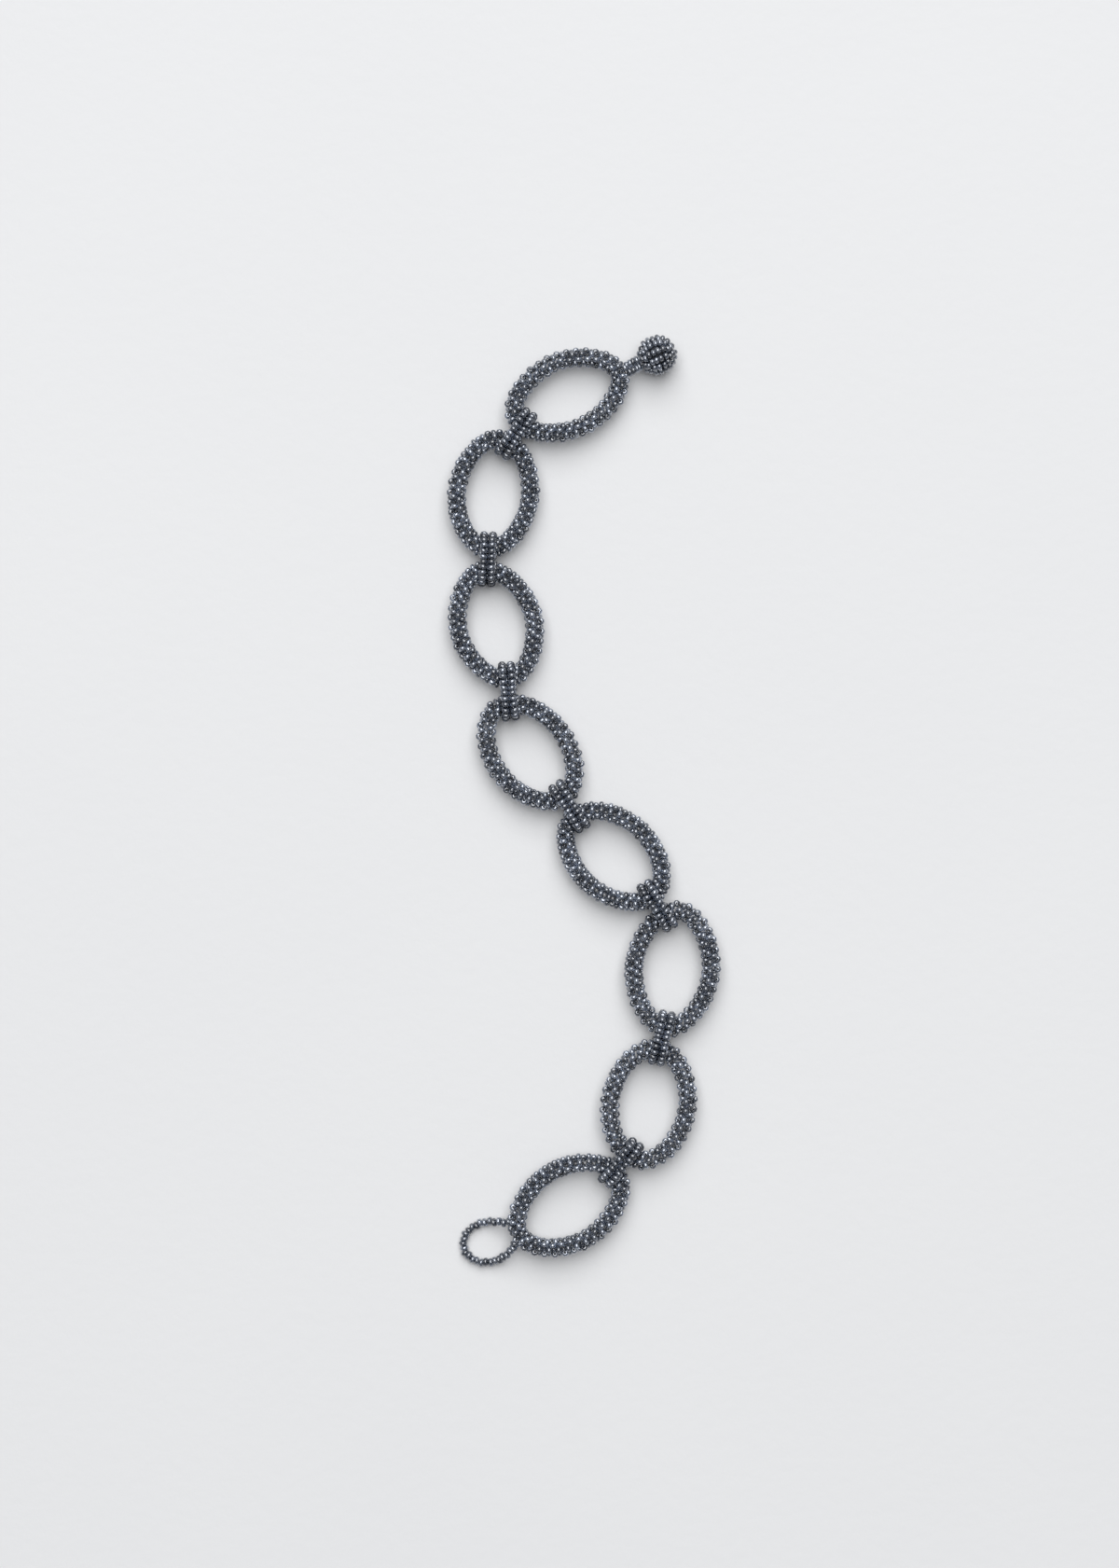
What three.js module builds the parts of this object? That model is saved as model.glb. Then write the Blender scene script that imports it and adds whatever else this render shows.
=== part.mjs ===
// A bracelet of eight oval links, each woven from small glass beads as a rope that closes on itself.
// Flat beaded bands wrap the neighbouring ropes together. A beaded ball on a stalk closes one end,
// and a loop of strung beads takes it at the other. It lies open, in a slow S, on a table at Z = 0.
// Millimetres, +Z up, +Y along the row of links.

import * as THREE from 'three';

// The bead that everything is made of, and the clear space between neighbouring pieces
const BEAD_DIAMETER = 1.22;
const GAP = 0.3;

// The rope: a woven tube that swells at every cell of its weave and dips between the cells
const ROPE_RADIUS = 1.7;
const ROPE_DIP_RADIUS = 1.4;
const ROPE_SIDES = 8;
const CELLS_PER_LINK = 34;

// The band: two columns of beads around two ropes, pinched between them
const BAND_HALF_WIDTH = 1.5;
const BAND_WAIST = 0.84;
const BAND_GROOVE_DEPTH = 0.3;
const BAND_GROOVE_HALF_WIDTH = 0.3;
const BAND_EDGE = 0.42;
const BAND_END_ROWS = 8;
const BAND_STRAIGHT_ROWS = 5;
const BAND_BEND_RELIEF = 0.25;

// The ball and its stalk
const BALL = { x: 13.0, y: 77.92, radius: 3.45, columns: 14, rows: 12, grooveDepth: 0.22 };
const STALK = { rows: 3, columnOffset: 0.5, columnSides: 6, waist: 0.8 };

// The loop: beads on one strand, along an oval that the last link's rope cuts short
const LOOP = { x: -16.59, y: -77.42, turn: 17, halfLength: 4.72, halfWidth: 3.3, fullness: 2, beads: 29 };
const LOOP_SIDES = 10;
const LOOP_WAIST_RADIUS = 0.42;
const LOOP_DROP_LENGTH = 6.5;

// The centre line of each rope: its middle, the turn of its long axis from +X in degrees, its half
// length and half width, and how full the oval is (2 is an ellipse, less is more pointed).
const LINKS = [
  { name: 'link_1', x: -2.97, y: 70.54, turn: 23.3, halfLength: 9.91, halfWidth: 6.09, fullness: 1.79 },
  { name: 'link_2', x: -15.76, y: 53.35, turn: 82.8, halfLength: 9.67, halfWidth: 6.42, fullness: 1.87 },
  { name: 'link_3', x: -15.31, y: 30.58, turn: 105.0, halfLength: 9.78, halfWidth: 6.65, fullness: 1.81 },
  { name: 'link_4', x: -9.34, y: 8.3, turn: 128.1, halfLength: 9.72, halfWidth: 6.47, fullness: 1.9 },
  { name: 'link_5', x: 5.2, y: -9.81, turn: 138.6, halfLength: 9.81, halfWidth: 6.52, fullness: 1.87 },
  { name: 'link_6', x: 15.42, y: -29.46, turn: 83.7, halfLength: 10.38, halfWidth: 6.76, fullness: 1.79 },
  { name: 'link_7', x: 11.28, y: -52.99, turn: 80.6, halfLength: 9.93, halfWidth: 6.76, fullness: 1.89 },
  { name: 'link_8', x: -2.6, y: -70.59, turn: 31.2, halfLength: 10.04, halfWidth: 6.58, fullness: 1.83 },
];

// Sizes that follow from those above
const BEAD_RADIUS = BEAD_DIAMETER / 2;
const BAND_INNER_RADIUS = ROPE_RADIUS + GAP;
const ROPE_HEIGHT = BEAD_DIAMETER + BAND_INNER_RADIUS;
const CURVE_SAMPLES = 1440;
const UP = new THREE.Vector3(0, 0, 1);

const glass = new THREE.MeshStandardMaterial({ color: 0x61656d, roughness: 0.15, metalness: 0.35 });

// A point on a superellipse, in the plane of the table
function ovalPoint(oval, angle) {
  const power = 2 / oval.fullness;
  const along = oval.halfLength * Math.sign(Math.cos(angle)) * Math.abs(Math.cos(angle)) ** power;
  const across = oval.halfWidth * Math.sign(Math.sin(angle)) * Math.abs(Math.sin(angle)) ** power;
  const turned = new THREE.Vector2(along, across).rotateAround(
    new THREE.Vector2(), THREE.MathUtils.degToRad(oval.turn));
  return turned.add(new THREE.Vector2(oval.x, oval.y));
}

// The oval's outline as a fine closed run of points
function ovalOutline(oval) {
  return Array.from({ length: CURVE_SAMPLES }, (_, i) => ovalPoint(oval, (2 * Math.PI * i) / CURVE_SAMPLES));
}

// Points spaced evenly by length along a run of points, with both of its ends
function spacedAlong(points, count) {
  const reached = [0];
  for (let i = 1; i < points.length; i += 1) {
    reached.push(reached[i - 1] + points[i].distanceTo(points[i - 1]));
  }
  const total = reached[reached.length - 1];
  let next = 1;
  return Array.from({ length: count + 1 }, (_, i) => {
    const wanted = (total * i) / count;
    while (next < points.length - 1 && reached[next] < wanted) next += 1;
    const share = (wanted - reached[next - 1]) / (reached[next] - reached[next - 1]);
    return points[next - 1].clone().lerp(points[next], share);
  });
}

// A closed skin over rings of points; the run of rings closes on itself, or ends in flat caps
function skin(rings, closed) {
  const sides = rings[0].length;
  const points = rings.flat();
  const triangles = [];
  const spans = closed ? rings.length : rings.length - 1;
  for (let i = 0; i < spans; i += 1) {
    const here = i * sides;
    const ahead = ((i + 1) % rings.length) * sides;
    for (let j = 0; j < sides; j += 1) {
      const k = (j + 1) % sides;
      triangles.push(here + j, here + k, ahead + k, here + j, ahead + k, ahead + j);
    }
  }
  if (!closed) {
    const last = (rings.length - 1) * sides;
    for (let j = 1; j < sides - 1; j += 1) {
      triangles.push(0, j + 1, j, last, last + j, last + j + 1);
    }
  }
  const geometry = new THREE.BufferGeometry().setFromPoints(points);
  geometry.setIndex(triangles);
  geometry.computeVertexNormals();
  return geometry;
}

// A ring of points around a centre; offsets run anticlockwise as seen against the way ahead
function ringAt(centre, side, upward, offsets) {
  return offsets.map(([s, u]) => centre.clone().addScaledVector(side, s).addScaledVector(upward, u));
}

// One woven link: rings of the rope's full size and of its dips in turn, each turned by half a side
// against the last, so that the skin falls into diamonds as the weave does.
function wovenLink(link) {
  const outline = ovalOutline(link);
  const stations = 2 * CELLS_PER_LINK;
  const centres = spacedAlong([...outline, outline[0]], stations).slice(0, stations);
  const rings = centres.map((centre, i) => {
    const before = centres[(i + stations - 1) % stations];
    const after = centres[(i + 1) % stations];
    const ahead = after.clone().sub(before).normalize();
    const inward = new THREE.Vector3(-ahead.y, ahead.x, 0);
    const isDip = i % 2 === 1;
    const radius = isDip ? ROPE_DIP_RADIUS : ROPE_RADIUS;
    const offsets = Array.from({ length: ROPE_SIDES }, (_, j) => {
      const angle = (2 * Math.PI * (isDip ? j + 0.5 : j)) / ROPE_SIDES;
      return [radius * Math.cos(angle), radius * Math.sin(angle)];
    });
    return ringAt(new THREE.Vector3(centre.x, centre.y, ROPE_HEIGHT), inward, UP, offsets);
  });
  return skin(rings, true);
}

// The two points where neighbouring ropes run closest: a band is centred between them
function bandSeat(linkA, linkB) {
  let best = { span: Infinity };
  const outlineB = ovalOutline(linkB);
  for (const pointA of ovalOutline(linkA)) {
    for (const pointB of outlineB) {
      const span = pointA.distanceTo(pointB);
      if (span < best.span) best = { span, pointA, pointB };
    }
  }
  return best;
}

// One band: a flat strip of two bead columns that goes over one pair of ropes and back under it
function wrappedBand({ span, pointA, pointB }) {
  const middle = pointA.clone().add(pointB).multiplyScalar(0.5);
  const along = pointB.clone().sub(pointA).normalize();
  const alongBand = new THREE.Vector3(along.x, along.y, 0);
  const acrossBand = new THREE.Vector3(-along.y, along.x, 0);
  const centre = new THREE.Vector3(middle.x, middle.y, ROPE_HEIGHT);

  const stations = [];
  for (const end of [1, -1]) {
    for (let i = 0; i < BAND_END_ROWS; i += 1) {
      const angle = end * Math.PI / 2 - (Math.PI * i) / BAND_END_ROWS;
      const turn = end === 1 ? angle : angle + Math.PI * 2;
      stations.push({ u: end * span / 2, angle: turn, width: 1 });
    }
    for (let i = 0; i < BAND_STRAIGHT_ROWS; i += 1) {
      const share = i / BAND_STRAIGHT_ROWS;
      const width = 1 - (1 - BAND_WAIST) * Math.sin(Math.PI * share);
      stations.push({ u: end * span * (0.5 - share), angle: -end * Math.PI / 2, width });
    }
  }

  // Across the strip: two bead columns outside with a groove between them, plain inside
  const rim = BEAD_DIAMETER - BAND_EDGE;
  const section = [
    [-BAND_HALF_WIDTH, 0],
    [BAND_HALF_WIDTH, 0],
    [BAND_HALF_WIDTH, rim],
    [BAND_HALF_WIDTH - BAND_EDGE, BEAD_DIAMETER],
    [BAND_GROOVE_HALF_WIDTH, BEAD_DIAMETER],
    [0, BEAD_DIAMETER - BAND_GROOVE_DEPTH],
    [-BAND_GROOVE_HALF_WIDTH, BEAD_DIAMETER],
    [-BAND_HALF_WIDTH + BAND_EDGE, BEAD_DIAMETER],
    [-BAND_HALF_WIDTH, rim],
  ];
  const rings = stations.map(({ u, angle, width }) => section.map(([w, thickness]) => {
    const reach = BAND_INNER_RADIUS + thickness;
    const inside = 1 - thickness / BEAD_DIAMETER;
    const relief = BAND_BEND_RELIEF * w * w * inside * Math.cos(angle);
    return centre.clone()
      .addScaledVector(alongBand, u + reach * Math.cos(angle) + relief)
      .addScaledVector(acrossBand, w * width)
      .addScaledVector(UP, reach * Math.sin(angle));
  }));
  return skin(rings, true);
}

// The ball: columns of beads from pole to pole, with a groove between each two
function beadedBall(centre, axis) {
  const side = new THREE.Vector3().crossVectors(UP, axis).normalize();
  const upward = new THREE.Vector3().crossVectors(axis, side);
  const rings = [];
  for (let i = 1; i < BALL.rows; i += 1) {
    const polar = (Math.PI * i) / BALL.rows;
    const level = centre.clone().addScaledVector(axis, -BALL.radius * Math.cos(polar));
    const offsets = Array.from({ length: 2 * BALL.columns }, (_, j) => {
      const angle = (Math.PI * j) / BALL.columns;
      const groove = j % 2 === 0 ? BALL.grooveDepth : 0;
      const radius = (BALL.radius - groove) * Math.sin(polar);
      return [radius * Math.cos(angle), radius * Math.sin(angle)];
    });
    rings.push(ringAt(level, side, upward, offsets));
  }
  return skin(rings, false);
}

// The stalk: two columns of beads side by side, a few rows long, between the first link and the ball
function beadedStalk(start, end) {
  const ahead = end.clone().sub(start).normalize();
  const side = new THREE.Vector3().crossVectors(UP, ahead).normalize();
  const upward = new THREE.Vector3().crossVectors(ahead, side);
  const stations = 2 * STALK.rows;
  const rings = Array.from({ length: stations + 1 }, (_, i) => {
    const swell = i % 2 === 1 ? 1 : STALK.waist;
    const offsets = [1, -1].flatMap((column) => Array.from({ length: STALK.columnSides }, (_, j) => {
      const angle = (Math.PI * (j + 0.5)) / STALK.columnSides - column * Math.PI / 2;
      const across = column * STALK.columnOffset + swell * BEAD_RADIUS * Math.cos(angle);
      return [across, swell * BEAD_RADIUS * Math.sin(angle)];
    }));
    return ringAt(start.clone().lerp(end, i / stations), side, upward, offsets);
  });
  return skin(rings, false);
}

// The loop's route: the stretch of its oval that stays clear of the rope it is sewn to. It leaves the
// rope at half its height and comes down to lie on the table.
function loopRoute(rope) {
  const ropeLine = ovalOutline(rope);
  const clearance = (point) => Math.min(...ropeLine.map((other) => other.distanceTo(point)));
  const oval = ovalOutline(LOOP);
  const isFree = oval.map((point) => clearance(point) >= ROPE_RADIUS + GAP);
  const first = isFree.findIndex((free, i) => free && !isFree[(i + CURVE_SAMPLES - 1) % CURVE_SAMPLES]);
  const free = [];
  for (let i = first; isFree[i % CURVE_SAMPLES] && free.length < CURVE_SAMPLES; i += 1) {
    free.push(oval[i % CURVE_SAMPLES]);
  }
  const stations = 3 * LOOP.beads;
  const spaced = spacedAlong(free, stations);
  const length = stations * spaced[1].distanceTo(spaced[0]);
  return spaced.map((point, i) => {
    const fromEnd = (Math.min(i, stations - i) / stations) * length;
    const drop = (1 - Math.cos(Math.PI * Math.min(1, fromEnd / LOOP_DROP_LENGTH))) / 2;
    return new THREE.Vector3(point.x, point.y, THREE.MathUtils.lerp(ROPE_HEIGHT, BEAD_RADIUS, drop));
  });
}

// The strung beads of the loop: each swells from the waist it shares with the next
function strungLoop(route) {
  const rings = route.map((centre, i) => {
    const before = route[Math.max(i - 1, 0)];
    const after = route[Math.min(i + 1, route.length - 1)];
    const ahead = after.clone().sub(before).normalize();
    const side = new THREE.Vector3().crossVectors(UP, ahead).normalize();
    const upward = new THREE.Vector3().crossVectors(ahead, side);
    const radius = i % 3 === 0 ? LOOP_WAIST_RADIUS : BEAD_RADIUS;
    const offsets = Array.from({ length: LOOP_SIDES }, (_, j) => {
      const angle = (2 * Math.PI * (j + 0.5)) / LOOP_SIDES;
      return [radius * Math.cos(angle), radius * Math.sin(angle)];
    });
    return ringAt(centre, side, upward, offsets);
  });
  return skin(rings, false);
}

const bracelet = new THREE.Group();

function addPiece(name, geometry) {
  const mesh = new THREE.Mesh(geometry, glass);
  mesh.name = name;
  bracelet.add(mesh);
}

for (const link of LINKS) addPiece(link.name, wovenLink(link));
for (let i = 1; i < LINKS.length; i += 1) {
  addPiece(`band_${i}`, wrappedBand(bandSeat(LINKS[i - 1], LINKS[i])));
}

const ballCentre = new THREE.Vector3(BALL.x, BALL.y, BALL.radius);
const firstTip = new THREE.Vector3(...ovalPoint(LINKS[0], 0), ROPE_HEIGHT);
const stalkAxis = ballCentre.clone().sub(firstTip).normalize();
addPiece('ball', beadedBall(ballCentre, stalkAxis));
addPiece('stalk', beadedStalk(
  firstTip.clone().addScaledVector(stalkAxis, ROPE_RADIUS + GAP),
  ballCentre.clone().addScaledVector(stalkAxis, -BALL.radius - GAP)));
addPiece('loop', strungLoop(loopRoute(LINKS[LINKS.length - 1])));

// The origin is at the middle of the bracelet's box, on the table
const box = new THREE.Box3().setFromObject(bracelet);
const middle = box.getCenter(new THREE.Vector3());
bracelet.position.set(-middle.x, -middle.y, -box.min.z);
bracelet.updateMatrixWorld(true);

export default bracelet;
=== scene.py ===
# %% [markdown]
# A bracelet woven from small glass beads
#
# Eight oval links, each a rope of beads closed on itself, are held together by seven beaded bands.
# A beaded ball at one end buttons through a bead loop at the other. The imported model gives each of
# these pieces as a plain solid at its true size and place. This lesson loads those solids as a fixed
# frame and puts the real beads, thread, glass and light where the solids are.

# %% Load the frame
import math
import bpy
import numpy as np
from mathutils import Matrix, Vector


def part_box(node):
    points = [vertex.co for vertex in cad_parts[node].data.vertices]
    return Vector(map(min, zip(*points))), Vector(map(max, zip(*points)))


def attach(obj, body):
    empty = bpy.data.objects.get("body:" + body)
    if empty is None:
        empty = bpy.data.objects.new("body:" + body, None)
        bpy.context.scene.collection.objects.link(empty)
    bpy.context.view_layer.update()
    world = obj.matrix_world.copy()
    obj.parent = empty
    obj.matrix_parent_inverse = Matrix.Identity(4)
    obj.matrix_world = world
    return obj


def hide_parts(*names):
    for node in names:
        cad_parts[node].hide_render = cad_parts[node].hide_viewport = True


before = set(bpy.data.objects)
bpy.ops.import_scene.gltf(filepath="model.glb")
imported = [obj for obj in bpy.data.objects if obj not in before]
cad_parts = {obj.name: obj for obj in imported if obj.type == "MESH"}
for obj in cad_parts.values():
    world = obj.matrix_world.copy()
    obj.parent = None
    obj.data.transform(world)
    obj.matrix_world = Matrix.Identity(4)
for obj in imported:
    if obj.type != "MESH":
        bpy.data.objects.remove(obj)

MM = 0.001
UP = np.array((0, 0, 1.0))
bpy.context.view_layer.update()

# %% [markdown]
# Looking straight down
#
# The bracelet is laid out on a white table and seen from directly above. A camera that is not turned
# at all already looks down, with the top of the picture towards +Y, so it only needs its place. A long
# lens far away keeps the ropes from leaning outwards, as a short lens close by would make them do. The
# height that the picture takes in is measured at the level of the ropes' middle.

# %% Camera
PICTURE_HEIGHT = 273.2 * MM
PICTURE_MIDDLE = (-4.26 * MM, 2.87 * MM)
PICTURE_LEVEL = 3.2 * MM
LENS = 85.0
SENSOR = 36.0
CLIP_START = 0.01

bpy.ops.object.select_all(action="DESELECT")
camera_height = PICTURE_HEIGHT * LENS / SENSOR + PICTURE_LEVEL
bpy.ops.object.camera_add(location=(*PICTURE_MIDDLE, camera_height), rotation=(0, 0, 0))
camera = bpy.context.object
camera.data.lens = LENS
camera.data.sensor_width = SENSOR
camera.data.clip_start = CLIP_START
bpy.context.scene.camera = camera
bpy.context.scene.view_settings.view_transform = "Standard"
print("camera height, mm:", round(camera_height / MM, 1))

# %% [markdown]
# One class for all the finishes
#
# A finish is a small network of nodes. Written out node by node it is long and hard to read, so one
# class wraps a socket: plus and times between sockets add the Math nodes, and the method node adds any
# other kind. Then a finish reads like the sum that it is.

# %% A socket that can be reckoned with
class Wire:
    def __init__(self, tree, socket=None):
        self.tree = tree
        self.socket = socket

    def node(self, kind, settings, values, output=0):
        made = self.tree.nodes.new(kind)
        for key, value in settings.items():
            setattr(made, key, value)
        for key, value in values.items():
            if isinstance(value, Wire):
                self.tree.links.new(value.socket, made.inputs[key])
            else:
                made.inputs[key].default_value = value
        return Wire(self.tree, made.outputs[output]) if made.outputs else made

    def reckon(self, operation, first, second):
        return self.node("ShaderNodeMath", {"operation": operation}, {0: first, 1: second})

    def __add__(self, other):
        return self.reckon("ADD", self, other)

    def __radd__(self, other):
        return self.reckon("ADD", other, self)

    def __mul__(self, other):
        return self.reckon("MULTIPLY", self, other)

    def __rmul__(self, other):
        return self.reckon("MULTIPLY", other, self)

    def mix(self, low, high):
        settings = {"data_type": "RGBA"}
        return self.node("ShaderNodeMix", settings, {"Factor": self, 6: low, 7: high}, 2)


def new_finish(name):
    finish = bpy.data.materials.new(name)
    finish.use_nodes = True
    tree = finish.node_tree
    for node in list(tree.nodes):
        tree.nodes.remove(node)
    return finish, Wire(tree)


print("socket class ready")

# %% [markdown]
# The table
#
# The surface is matt white paint: nearly even, with a faint roller texture and a little unevenness
# in its white. A large plane carries it. The texture is far too fine for mesh, so a noise drives a
# bump, and a second, wide noise makes the white a trifle uneven.

# %% Floor
FLOOR_SIZE = 8.0
DIM_WHITE = (0.785, 0.79, 0.805, 1)
BRIGHT_WHITE = (0.815, 0.82, 0.83, 1)

bpy.ops.mesh.primitive_plane_add(size=FLOOR_SIZE, location=(0, 0, 0))
floor = bpy.context.object
floor.name = "table_top"

paint, pen = new_finish("white_paint")
place = pen.node("ShaderNodeTexCoord", {}, {}, "Object")
cloud = pen.node("ShaderNodeTexNoise", {}, {"Vector": place, "Scale": 9.0, "Detail": 3.0})
roller = pen.node("ShaderNodeTexNoise", {}, {"Vector": place, "Scale": 420.0, "Detail": 4.0})
stipple = pen.node("ShaderNodeBump", {}, {"Height": roller, "Strength": 0.06, "Distance": 0.001})
matt = pen.node("ShaderNodeBsdfPrincipled", {}, {
    "Base Color": cloud.mix(DIM_WHITE, BRIGHT_WHITE), "Roughness": 0.75, "Specular IOR Level": 0.25,
    "Normal": stipple})
pen.node("ShaderNodeOutputMaterial", {}, {"Surface": matt})
floor.data.materials.append(paint)
print("floor:", floor.name)

# %% [markdown]
# Soft light from the top of the picture
#
# The shadows under the links are soft and fall towards the bottom of the picture, so the main light is
# a large window-like panel overhead, set towards the top of the picture, and the white room all round
# fills in the rest. Glossy beads mirror the panel as one small bright spot each, and that spot is most
# of what makes them read as glass. A sun lamp would give hard shadows, so an area lamp is used.

# %% Light
ROOM_COLOUR = (0.97, 0.985, 1.0, 1)
ROOM_STRENGTH = 0.2
PANEL_PLACE = (0.0, 1.12, 2.2)
PANEL_WIDTH = 2.4
PANEL_DEPTH = 3.3
PANEL_WATTS = 80

world = bpy.data.worlds.new("white_room")
bpy.context.scene.world = world
world.use_nodes = True
room = world.node_tree.nodes["Background"]
room.inputs["Color"].default_value = ROOM_COLOUR
room.inputs["Strength"].default_value = ROOM_STRENGTH

bpy.ops.object.light_add(type="AREA", location=PANEL_PLACE)
window = bpy.context.object
window.name = "window_panel"
window.data.shape = "RECTANGLE"
window.data.size = PANEL_WIDTH
window.data.size_y = PANEL_DEPTH
window.data.energy = PANEL_WATTS
window.rotation_euler = (-window.location).to_track_quat("-Z", "Y").to_euler()
print("window panel at", [round(v, 2) for v in window.location])

# %% [markdown]
# One glass bead
#
# A seed bead is a slice of drawn glass tube, tumbled hot until its rims are round. It could be a torus,
# but a torus has no flat end where two beads meet. So it starts as a short cylinder: both ends are
# inset, the two inner faces are bridged into the hole, and the outer rims are bevelled round. It is
# copied more than two thousand times, so it keeps to 64 faces and smooth shading does the rest.

# %% Bead
BEAD_WIDTH = 1.3 * MM
BEAD_LENGTH = 0.82 * MM
BEAD_HOLE = 0.5 * MM
BEAD_SIDES = 8
RIM_ROUND = 0.31 * MM
RIM_STEPS = 2
OUTER_SHARE = 0.45
LEVEL_SLACK = 0.001 * MM
STEEP = 0.9


def pick(mesh, kind, wanted):
    bpy.ops.object.mode_set(mode="EDIT")
    bpy.ops.mesh.select_mode(type=kind)
    bpy.ops.mesh.select_all(action="DESELECT")
    bpy.ops.object.mode_set(mode="OBJECT")
    for part in (mesh.polygons if kind == "FACE" else mesh.edges):
        part.select = wanted(part)
    bpy.ops.object.mode_set(mode="EDIT")


bpy.ops.object.select_all(action="DESELECT")
bpy.ops.mesh.primitive_cylinder_add(vertices=BEAD_SIDES, radius=BEAD_WIDTH / 2, depth=BEAD_LENGTH)
bead = bpy.context.object
pick(bead.data, "FACE", lambda face: abs(face.normal.z) > STEEP)
bpy.ops.mesh.inset(thickness=(BEAD_WIDTH - BEAD_HOLE) / 2)
bpy.ops.mesh.bridge_edge_loops()


def on_outer_rim(edge):
    first, second = (bead.data.vertices[i].co for i in edge.vertices)
    level = abs(first.z - second.z) < LEVEL_SLACK
    return level and min(first.xy.length, second.xy.length) > OUTER_SHARE * BEAD_WIDTH


pick(bead.data, "EDGE", on_outer_rim)
bpy.ops.mesh.bevel(offset=RIM_ROUND, segments=RIM_STEPS)
bpy.ops.object.mode_set(mode="OBJECT")
bead_points = np.array([v.co[:] for v in bead.data.vertices])
bead_faces = np.array([p.vertices[:] for p in bead.data.polygons])
bpy.data.objects.remove(bead)
print("bead:", bead_faces.shape[0], "faces,", bead_points.shape[0], "points")

# %% [markdown]
# Copies of the bead
#
# Each piece of the bracelet is many beads that lie and lean a little differently. As separate objects
# they would be slow, so the copies of one piece are joined in one mesh. For every bead the helper takes
# its centre and the direction of its hole, adds a small lean, turn and swelling from seeded random
# numbers, and moves the bead's points there. Some pieces take a wider or longer bead. Each bead also
# gets one number, its tone, stored as an attribute, which the glass reads later.

# %% Place beads
LEAN = 0.13
SWELL = 0.03
SHIFT = 0.035 * MM


def unit(rows):
    rows = np.asarray(rows, dtype=float)
    return rows / np.linalg.norm(rows, axis=-1, keepdims=True)


def new_piece(name, points, faces):
    mesh = bpy.data.meshes.new(name)
    mesh.from_pydata(points.tolist(), [], faces)
    mesh.shade_smooth()
    piece = bpy.data.objects.new(name, mesh)
    bpy.context.collection.objects.link(piece)
    return piece


def beads_at(name, centres, holes, seed, wider=1.0, longer=1.0):
    chance = np.random.default_rng(seed)
    count = len(centres)
    holes = unit(unit(holes) + chance.normal(0, LEAN, (count, 3)))
    upright = np.abs(holes[:, 2:]) > STEEP
    side = unit(np.cross(np.where(upright, (1.0, 0, 0), UP), holes))
    angle = chance.uniform(0, math.pi, (count, 1))
    side = side * np.cos(angle) + np.cross(holes, side) * np.sin(angle)
    frames = np.stack([side, np.cross(holes, side), holes], axis=2)
    sizes = 1 + chance.normal(0, SWELL, (count, 1, 1))
    shaped = bead_points * (wider, wider, longer)
    spots = np.asarray(centres) + chance.normal(0, SHIFT, (count, 3))
    points = np.einsum("bij,vj->bvi", frames, shaped) * sizes + spots[:, None, :]
    faces = bead_faces[None] + (np.arange(count) * len(bead_points))[:, None, None]
    piece = new_piece(name, points.reshape(-1, 3), faces.reshape(-1, 4).tolist())
    tone = piece.data.attributes.new("tone", "FLOAT", "POINT")
    tone.data.foreach_set("value", np.repeat(chance.random(count), len(bead_points)))
    return piece


print("bead helper ready")

# %% [markdown]
# Thread
#
# The beads are sewn with a fine dark thread that shows only in the small gaps between them. A thread is
# a thin tube along a run of points. Curve objects with a bevel could make it, but there are more than a
# thousand short stitches, so one helper sweeps a section of four or six sides along each run and joins
# them all. A straight run has no plane of its own, so it is given one.

# %% Thread tubes
THREAD_RADIUS = 0.07 * MM
STRAIGHT_RUN_NORMAL = (0, 0, 1e-12)


def thread_along(name, runs, closed, radius=THREAD_RADIUS, sides=4):
    points, faces, start = [], [], 0
    for run in runs:
        run = np.asarray(run)
        count = len(run)
        if closed:
            ahead = unit(np.roll(run, -1, axis=0) - np.roll(run, 1, axis=0))
        else:
            ahead = unit(np.gradient(run, axis=0))
        flat = unit(np.cross(run[1] - run[0], run[count // 2] - run[0]) + STRAIGHT_RUN_NORMAL)
        side = unit(np.cross(flat, ahead))
        top = np.cross(ahead, side)
        for k in range(sides):
            turn = 2 * math.pi * k / sides
            points.append(run + radius * (math.cos(turn) * side + math.sin(turn) * top))
        last = count if closed else count - 1
        for k in range(sides):
            here = start + k * count
            there = start + (k + 1) % sides * count
            for i in range(last):
                j = (i + 1) % count
                faces.append((there + i, there + j, here + j, here + i))
        if not closed:
            faces.append([start + k * count for k in reversed(range(sides))])
            faces.append([start + k * count + count - 1 for k in range(sides)])
        start += sides * count
    return new_piece(name, np.concatenate(points), faces)


print("thread helper ready")

# %% [markdown]
# The middle line of a link
#
# Each link is an oval that comes to a soft point at both ends. A superellipse gives that: its fullness
# is 2 for a true ellipse and less for a more pointed one. The centre of each link is read from the
# frame, and its turn, half length, half width and fullness are the values of the solid. The line is then
# walked in equal steps, because the weave has cells of equal length.

# %% Link lines
ROPE_HEIGHT = 3.22 * MM
LINE_POINTS = 2400
# Columns: turn in degrees, half length and half width in mm, fullness.
LINK_OVALS = {
    "link_1": (23.3, 9.91, 6.09, 1.79),
    "link_2": (82.8, 9.67, 6.42, 1.87),
    "link_3": (105.0, 9.78, 6.65, 1.81),
    "link_4": (128.1, 9.72, 6.47, 1.9),
    "link_5": (138.6, 9.81, 6.52, 1.87),
    "link_6": (83.7, 10.38, 6.76, 1.79),
    "link_7": (80.6, 9.93, 6.76, 1.89),
    "link_8": (31.2, 10.04, 6.58, 1.83),
}


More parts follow.
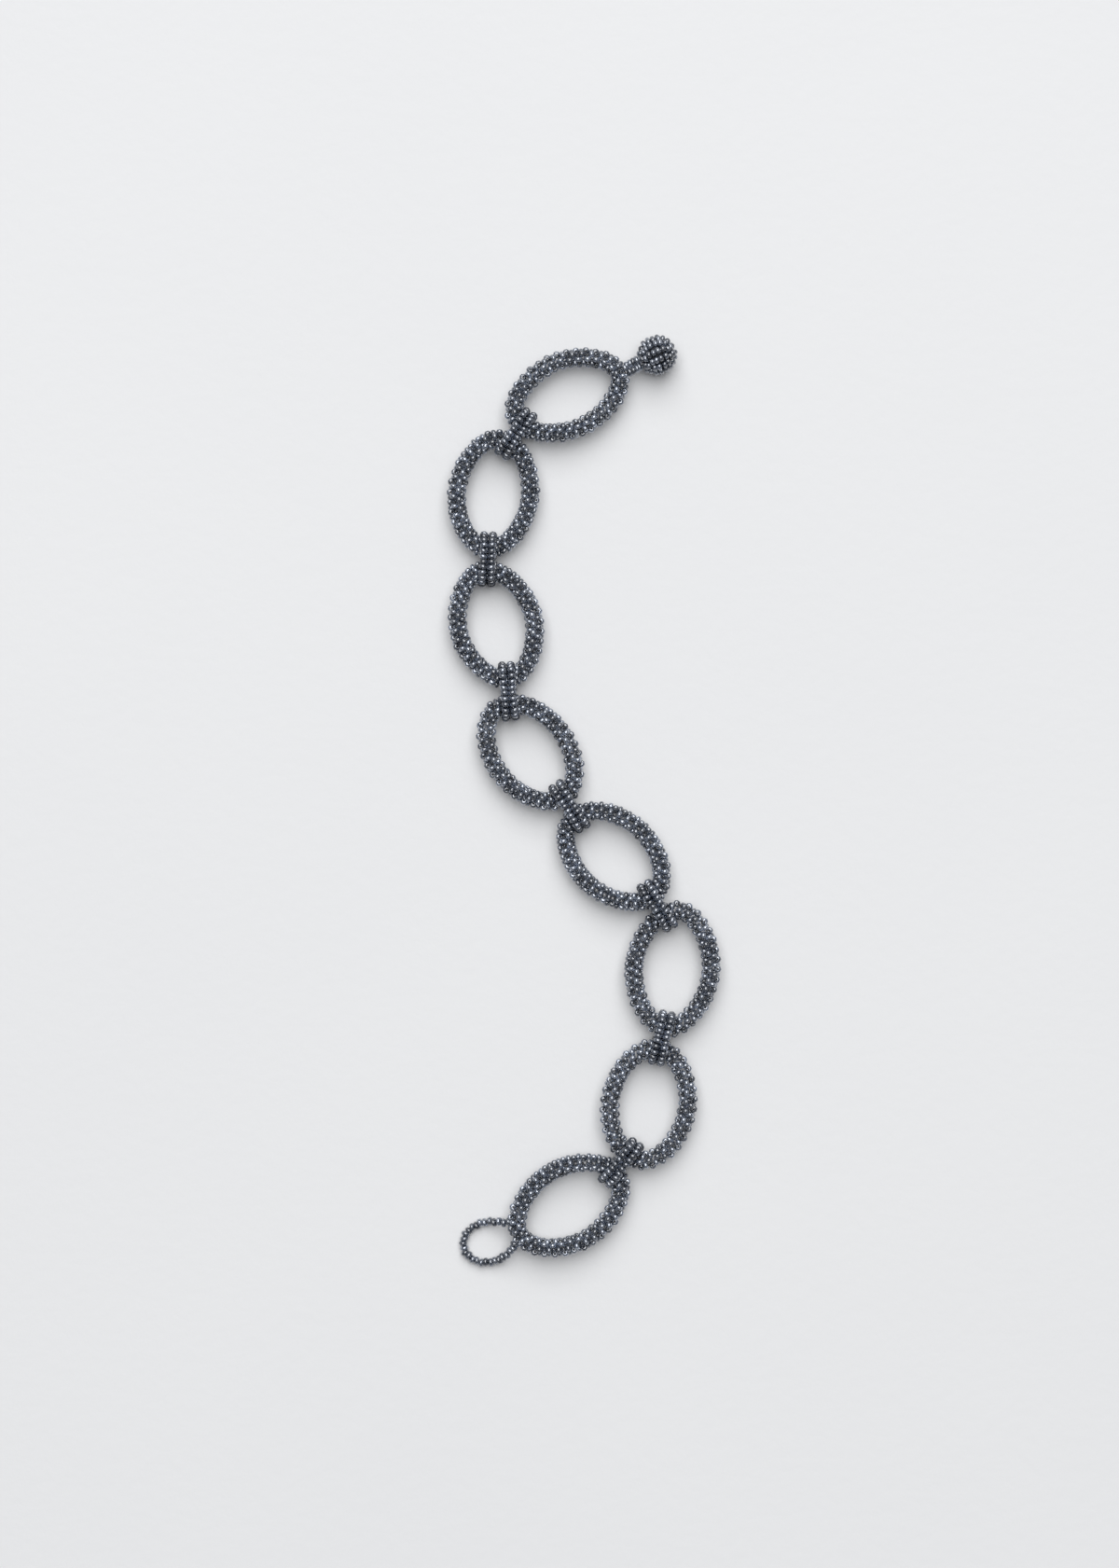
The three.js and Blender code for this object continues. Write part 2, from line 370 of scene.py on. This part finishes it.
def link_line(name):
    turn, half_length, half_width, fullness = LINK_OVALS[name]
    low, high = (np.array(corner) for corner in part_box(name))
    centre = (low + high) / 2
    t = np.linspace(0, 2 * math.pi, LINE_POINTS, endpoint=False)
    along = half_length * MM * np.sign(np.cos(t)) * np.abs(np.cos(t)) ** (2 / fullness)
    across = half_width * MM * np.sign(np.sin(t)) * np.abs(np.sin(t)) ** (2 / fullness)
    lean = math.radians(turn)
    x = centre[0] + along * math.cos(lean) - across * math.sin(lean)
    y = centre[1] + along * math.sin(lean) + across * math.cos(lean)
    return np.stack([x, y, np.full_like(x, ROPE_HEIGHT)], axis=-1)


lines = {name: link_line(name) for name in LINK_OVALS}
print("link lines:", len(lines))

# %% Walking along a line
TANGENT_PARTS = 150


def distances(line):
    return np.concatenate([[0], np.cumsum(np.linalg.norm(np.diff(line, axis=0), axis=1))])


def at_distance(line, steps, places):
    return np.stack([np.interp(places, steps, line[:, k]) for k in range(3)], axis=1)


def walk(line, count, offset):
    closed = np.vstack([line, line[:1]])
    steps = distances(closed)
    length = steps[-1]
    places = (np.arange(count) + offset) % count * length / count
    reach = length / TANGENT_PARTS
    later = at_distance(closed, steps, (places + reach) % length)
    before = at_distance(closed, steps, (places - reach) % length)
    return at_distance(closed, steps, places), unit(later - before)


lengths = {name: distances(np.vstack([line, line[:1]]))[-1] for name, line in lines.items()}
print("link lengths, mm:", [round(length / MM, 1) for length in lengths.values()])

# %% [markdown]
# Weaving the links
#
# The rope is right-angle weave with four sides. Four rails run along it, one bead to each cell with the
# hole along the rope, and between two cells a ring of four rungs lies across, one to each side. The
# thread goes round through the four beads of every cell, so no bead is only glued in place. Hand tension
# lets each link lie on a different edge of its rope and pulls one edge a little ahead of the other. An
# array along a curve would squeeze the beads in the bends, so each bead is set by its own place.

# %% Columns of a rope
SIDES = 4
SIDE_ANGLE = 360 / SIDES
CELL = 1.62 * MM
RAIL_RADIUS = 1.09 * MM
RUNG_RADIUS = 1.15 * MM
# Columns: roll of the rope in degrees, lead of its outer edge in cells.
ROLL_AND_LEAD = {
    "link_1": (12, 0.15),
    "link_2": (24, 0.15),
    "link_3": (20, 0.18),
    "link_4": (14, 0.2),
    "link_5": (28, 0.12),
    "link_6": (8, 0.22),
    "link_7": (4, 0.24),
    "link_8": (20, 0.15),
}
# Columns: size in degrees, waves round the link, links until the waves start alike again.
SWAYS = ((9, 2, 8), (5, 5, 3))


def rope_column(name, seed, count, offset, angle, radius):
    roll, lead = ROLL_AND_LEAD[name]
    offset = offset + lead * math.cos(math.radians(roll + angle))
    spots, ahead = walk(lines[name], count, offset)
    out = np.cross(ahead, UP)
    share = (np.arange(count) + offset) / count
    sway = sum(size * np.sin(2 * math.pi * (waves * share + seed / again)) for size, waves, again in SWAYS)
    turn = np.radians(roll + angle + sway)[:, None]
    centres = spots + radius * (np.cos(turn) * out + np.sin(turn) * UP)
    return centres, ahead, np.cos(turn) * UP - np.sin(turn) * out


print("cells of a link, about:", round(lengths["link_1"] / CELL))

# %% Links
def weave_link(name, seed):
    count = round(lengths[name] / CELL)
    rungs, rails = [], []
    for side in range(SIDES):
        rungs.append(rope_column(name, seed, count, 0.0, SIDE_ANGLE * side, RUNG_RADIUS))
        rails.append(rope_column(name, seed, count, 0.5, SIDE_ANGLE * (side + 0.5), RAIL_RADIUS))
    half = BEAD_LENGTH / 2
    stitches = []
    for side in range(SIDES):
        first, ahead, _ = rails[side - 1]
        second = rails[side][0]
        near, _, across = rungs[side]
        far = np.roll(near, -1, axis=0)
        beyond = np.roll(across, -1, axis=0)
        corners = [first - half * ahead, first + half * ahead, far - half * beyond, far + half * beyond,
                   second + half * ahead, second - half * ahead, near + half * across, near - half * across]
        stitches.extend(np.stack(corners, axis=1))
    centres = np.concatenate([column[0] for column in rails + rungs])
    holes = np.concatenate([column[1] for column in rails] + [column[2] for column in rungs])
    beads = beads_at(name + "_beads", centres, holes, seed)
    return beads, thread_along(name + "_thread", stitches, True)


link_pieces, link_threads = {}, []
for seed, name in enumerate(LINK_OVALS, start=1):
    link_pieces[name], thread = weave_link(name, seed)
    link_threads.append(thread)
print("link beads:", [len(piece.data.polygons) // len(bead_faces) for piece in link_pieces.values()])

# %% [markdown]
# Bands round two ropes
#
# A band is a strip two beads wide, sewn into a ring that wraps the ropes of two neighbouring links. In
# side view it is a stadium: straight over the gap and round at both ropes. Its place is where the two
# middle lines come closest. The sewing pulls the columns together over the gap, so the strip has a
# waist there and sinks a little, and the beads of the two columns lean towards each other.

# %% Outline of a band
BAND_RADIUS = 2.42 * MM
BAND_ROWS = 24
COMPARE_STEP = 4


def closest(first, second):
    first, second = first[::COMPARE_STEP], second[::COMPARE_STEP]
    apart = np.linalg.norm(first[:, None] - second[None], axis=2)
    i, j = np.unravel_index(np.argmin(apart), apart.shape)
    return first[i], second[j]


def stadium(span, radius, count):
    turn = math.pi * radius
    length = 2 * span + 2 * turn
    rows = []
    for place in (np.arange(count) + 0.5) * length / count:
        if place < span:
            rows.append((place - span / 2, radius, 0.0))
        elif place < span + turn:
            a = (place - span) / radius
            rows.append((span / 2 + radius * math.sin(a), radius * math.cos(a), a))
        elif place < 2 * span + turn:
            rows.append((span / 2 - (place - span - turn), -radius, math.pi))
        else:
            a = (place - 2 * span - turn) / radius
            rows.append((-span / 2 - radius * math.sin(a), -radius * math.cos(a), math.pi + a))
    return np.array(rows).T[:, :, None]


print("rows of a band:", BAND_ROWS)

# %% Bands
BAND_WIDER = 1.18
BAND_LONGER = 1.12
COLUMN_HALF = 0.76 * MM
BAND_WAIST = 0.95
BAND_DIP = 0.3 * MM
DIP_REACH = 0.55
BAND_LEAN = math.radians(10)
BAND_SEED = 20


def wrap_band(name, first, second, seed):
    start, end = closest(lines[first], lines[second])
    span = float(np.linalg.norm(end - start))
    ahead = unit(end - start)
    across = np.cross(UP, ahead)
    along, height, heading = stadium(span, BAND_RADIUS, BAND_ROWS)
    over = np.exp(-(along / (DIP_REACH * span)) ** 2)
    sunk = height - np.where(height > 0, BAND_DIP * over, 0)
    half = COLUMN_HALF * (1 - (1 - BAND_WAIST) * over)
    path = np.cos(heading) * ahead - np.sin(heading) * UP
    columns, holes = [], []
    for column in (-1, 1):
        columns.append((start + end) / 2 + along * ahead + sunk * UP + column * half * across)
        holes.append(math.cos(BAND_LEAN) * path + column * math.sin(BAND_LEAN) * across)
    beads = beads_at(name + "_beads", np.concatenate(columns), np.concatenate(holes), seed,
                     BAND_WIDER, BAND_LONGER)
    return beads, thread_along(name + "_thread", columns, True)


band_pieces, band_threads = {}, []
names = list(LINK_OVALS)
for number, (first, second) in enumerate(zip(names, names[1:]), start=1):
    name = "band_%d" % number
    band_pieces[name], thread = wrap_band(name, first, second, BAND_SEED + number)
    band_threads.append(thread)
print("bands:", len(band_pieces), "with", 2 * BAND_ROWS, "beads each")

# %% [markdown]
# The ball and its stalk
#
# The button is a round core covered with beads strung from pole to pole, so the holes follow the
# meridians and the beads stand in columns, with fewer of them towards the poles. The core is shaped
# from a UV sphere, whose poles are inset and pressed in where the thread goes in. The stalk is two short
# columns of beads between the first link and the ball.

# %% Ball
BALL_OFFSET = np.array((-0.28, -0.45, 0.16)) * MM
BALL_BEAD_RADIUS = 2.94 * MM
RING_COUNTS = (3, 7, 10, 13, 13, 13, 13, 10, 7, 3)
FIRST_RING = 14.5
BALL_SEED = 31

low, high = (np.array(corner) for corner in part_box("ball"))
ball_centre = (low + high) / 2 + BALL_OFFSET
tip = lines["link_1"][0]
ball_axis = unit(ball_centre - tip)
ball_side = unit(np.cross(UP, ball_axis))
ball_top = np.cross(ball_axis, ball_side)
ring_angles = np.radians(np.linspace(FIRST_RING, 180 - FIRST_RING, len(RING_COUNTS)))
outs, holes = [], []
for count, angle in zip(RING_COUNTS, ring_angles):
    step = 0.0 if count == max(RING_COUNTS) else 0.5
    turn = (2 * math.pi * (np.arange(count) + step) / count)[:, None]
    outwards = np.cos(turn) * ball_side + np.sin(turn) * ball_top
    outs.append(math.sin(angle) * outwards + math.cos(angle) * ball_axis)
    holes.append(math.cos(angle) * outwards - math.sin(angle) * ball_axis)
centres = ball_centre + BALL_BEAD_RADIUS * np.concatenate(outs)
ball_beads = beads_at("ball_beads", centres, np.concatenate(holes), BALL_SEED)
print("ball beads:", sum(RING_COUNTS))

# %% Core of the ball
CORE_RADIUS = 2.5 * MM
CORE_SEGMENTS = 24
CORE_RINGS = 16
POLE_LEVEL = 2.35 * MM
POLE_INSET = 0.1 * MM
POLE_PRESS = 0.9

bpy.ops.object.select_all(action="DESELECT")
bpy.ops.mesh.primitive_uv_sphere_add(segments=CORE_SEGMENTS, ring_count=CORE_RINGS, radius=CORE_RADIUS)
ball_core = bpy.context.object
ball_core.name = "ball_core"
pick(ball_core.data, "FACE", lambda face: abs(face.center.z) > POLE_LEVEL)
bpy.ops.mesh.inset(thickness=POLE_INSET)
bpy.ops.transform.resize(value=(1, 1, POLE_PRESS), center_override=(0, 0, 0))
bpy.ops.object.mode_set(mode="OBJECT")
core_points = np.array([v.co[:] for v in ball_core.data.vertices])
core_points = core_points @ np.stack([ball_side, ball_top, ball_axis]) + ball_centre
ball_core.data.vertices.foreach_set("co", core_points.ravel())
ball_core.data.shade_smooth()
ball_core.data.update()
print("ball core points:", len(core_points))

# %% Stalk
STALK_ROWS = 4
STALK_HALF = 0.65 * MM
STALK_WIDER = 1.2
STALK_FROM_TIP = 1.4 * MM
STALK_FROM_BALL = 3.3 * MM
STALK_STRAND = 0.12 * MM
STALK_SEED = 32

stalk_start = tip + ball_axis * STALK_FROM_TIP
stalk_end = ball_centre - ball_axis * STALK_FROM_BALL
share = ((np.arange(STALK_ROWS) + 0.5) / STALK_ROWS)[:, None]
row = stalk_start + share * (stalk_end - stalk_start)
aside = STALK_HALF * ball_side
centres = np.concatenate([row - aside, row + aside])
holes = np.tile(ball_axis, (len(centres), 1))
stalk_beads = beads_at("stalk_beads", centres, holes, STALK_SEED, STALK_WIDER)
strands = [np.linspace(tip + s * aside, ball_centre + s * aside, STALK_ROWS + 2) for s in (-1, 1)]
stalk_thread = thread_along("stalk_thread", strands, False, STALK_STRAND)
print("stalk beads:", len(centres))

# %% [markdown]
# The closing loop
#
# The loop is a single string of beads, sewn into the end of the last link and lying down on the table
# further out. Its route is one smooth curve through a few points, from the last link round and back,
# and it is walked in equal steps. The beads sit a little to the left and right of the string by turns,
# as beads on a slack thread do.

# %% Route of the loop
LOOP_POINTS = np.array([
    (-11.9, -73.5), (-13.5, -73.55), (-15.5, -73.6), (-17.5, -73.75), (-19.1, -74.4), (-20.35, -75.45),
    (-21.0, -76.85), (-20.95, -78.35), (-20.3, -79.55), (-19.15, -80.4), (-17.55, -80.75), (-15.9, -80.6),
    (-14.45, -79.95), (-13.15, -78.95), (-12.15, -77.6), (-11.8, -76.85)]) * MM
SPAN_POINTS = 24
LOOP_WIDER = 1.18
LOOP_DROP = 6.5 * MM
LOOP_LIFT = 0.06 * MM


def smooth_route(points):
    padded = np.vstack([2 * points[0] - points[1], points, 2 * points[-1] - points[-2]])
    t = np.linspace(0, 1, SPAN_POINTS, endpoint=False)[:, None]
    spans = []
    for p0, p1, p2, p3 in zip(padded, padded[1:], padded[2:], padded[3:]):
        bend = (2 * p0 - 5 * p1 + 4 * p2 - p3) * t ** 2 + (3 * p1 - p0 - 3 * p2 + p3) * t ** 3
        spans.append(0.5 * (2 * p1 + (p2 - p0) * t + bend))
    return np.vstack(spans + [points[-1:]])


route = smooth_route(LOOP_POINTS)
steps = distances(route)
from_end = np.minimum(steps, steps[-1] - steps)
sinking = (1 - np.cos(math.pi * np.minimum(1, from_end / LOOP_DROP))) / 2
lying = LOOP_WIDER * BEAD_WIDTH / 2 + LOOP_LIFT
route = np.column_stack([route, ROPE_HEIGHT + (lying - ROPE_HEIGHT) * sinking])
print("loop length, mm:", round(steps[-1] / MM, 1))

# %% Beads and string of the loop
LOOP_BEADS = 29
LOOP_ASIDE = 0.09 * MM
LOOP_LEAN = 0.1
LOOP_TANGENT = 0.2 * MM
LOOP_STRAND = 0.13 * MM
STRAND_POINTS = 60
STRAND_SIDES = 6
LOOP_SEED = 33

places = (np.arange(LOOP_BEADS) + 0.5) / LOOP_BEADS * steps[-1]
spots = at_distance(route, steps, places)
later = at_distance(route, steps, places + LOOP_TANGENT)
along = unit(later - at_distance(route, steps, places - LOOP_TANGENT))
beside = np.where(np.arange(LOOP_BEADS) % 2, 1, -1)[:, None] * np.cross(along, UP)
loop_beads = beads_at("loop_beads", spots + LOOP_ASIDE * beside, along + LOOP_LEAN * beside, LOOP_SEED,
                      LOOP_WIDER)


def nearest_on_rope(spot):
    rope = lines["link_8"]
    return rope[np.argmin(np.linalg.norm(rope - spot, axis=1))]


strand = at_distance(route, steps, np.linspace(0, steps[-1], STRAND_POINTS))
strand = np.vstack([nearest_on_rope(route[0]), strand, nearest_on_rope(route[-1])])
loop_thread = thread_along("loop_thread", [strand], False, LOOP_STRAND, STRAND_SIDES)
print("loop beads:", LOOP_BEADS)

# %% [markdown]
# Smoky glass with a lustre
#
# The beads are see-through grey glass with a thin fired lustre, so each one is dark in the body, takes
# light from the table through its edges and shines at the top. One Principled shader does all three:
# transmission for the glass, a coat with a high index and a small metallic share for the lustre, and a
# dark cool base. Every bead has its own tone, some smokier, some clearer, and a faint cloudiness in the
# glass varies the gloss.

# %% Bead glass
CLOUD_SHARE = 0.25


def bead_glass(name, smoky, clear, shine):
    finish, pen = new_finish(name)
    tone = pen.node("ShaderNodeAttribute", {"attribute_name": "tone"}, {}, "Fac")
    place = pen.node("ShaderNodeTexCoord", {}, {}, "Object")
    cloudy = pen.node("ShaderNodeTexNoise", {}, {"Vector": place, "Scale": 1400.0, "Detail": 2.0})
    shade = tone * (1 - CLOUD_SHARE) + cloudy * CLOUD_SHARE
    gloss = 0.03 + cloudy * 0.06
    metal = 0.12 + tone * 0.22
    lustre = shine + tone * 0.4
    glass = pen.node("ShaderNodeBsdfPrincipled", {}, {
        "Base Color": shade.mix((*smoky, 1), (*clear, 1)), "Roughness": gloss, "Metallic": metal,
        "Coat Weight": lustre, "Coat Roughness": 0.15, "Coat IOR": 2.9, "IOR": 1.52,
        "Transmission Weight": 0.7})
    pen.node("ShaderNodeOutputMaterial", {}, {"Surface": glass})
    return finish


link_glass = bead_glass("link_glass", (0.024, 0.034, 0.06), (0.37, 0.44, 0.58), 0.6)
band_glass = bead_glass("band_glass", (0.02, 0.028, 0.05), (0.24, 0.29, 0.395), 0.45)
ball_glass = bead_glass("ball_glass", (0.024, 0.033, 0.057), (0.28, 0.335, 0.45), 0.5)
loop_glass = bead_glass("loop_glass", (0.03, 0.042, 0.07), (0.33, 0.39, 0.51), 0.5)
print("glass finishes: 4")

# %% [markdown]
# Dark thread
#
# The thread is a waxed dark grey twist. It is only a seventh of a millimetre thick, so a fine noise for
# the twist and a matt grey are all that can be seen of it. The same grey paints the ball's core.

# %% Thread finish
DARK_GREY = (0.02, 0.022, 0.026, 1)
PALE_GREY = (0.05, 0.054, 0.062, 1)

dark_thread, pen = new_finish("dark_thread")
place = pen.node("ShaderNodeTexCoord", {}, {}, "Object")
twist = pen.node("ShaderNodeTexNoise", {}, {"Vector": place, "Scale": 5200.0, "Detail": 1.0})
waxed = pen.node("ShaderNodeBsdfPrincipled", {}, {
    "Base Color": twist.mix(DARK_GREY, PALE_GREY), "Roughness": 0.6 + twist * 0.2})
pen.node("ShaderNodeOutputMaterial", {}, {"Surface": waxed})
print("thread finish:", dark_thread.name)

# %% [markdown]
# Handing the pieces to the frame
#
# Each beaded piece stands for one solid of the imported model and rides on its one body. The solid is then
# hidden here and still carries the weight and the contacts in the simulation.

# %% Pieces on the frame
def hand_over(piece, finish, node=None):
    piece.data.materials.append(finish)
    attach(piece, "root")
    if node:
        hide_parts(node)


for name, piece in link_pieces.items():
    hand_over(piece, link_glass, name)
for name, piece in band_pieces.items():
    hand_over(piece, band_glass, name)
hand_over(ball_beads, ball_glass, "ball")
hand_over(stalk_beads, ball_glass, "stalk")
hand_over(loop_beads, loop_glass, "loop")
for piece in link_threads + band_threads + [ball_core, stalk_thread, loop_thread]:
    hand_over(piece, dark_thread)

# %% [markdown]
#
# The beads have to keep to the imported model's size, give or take a fraction of a millimetre. The last
# line brings the scene up to date.

# %% Finish
bpy.context.view_layer.update()
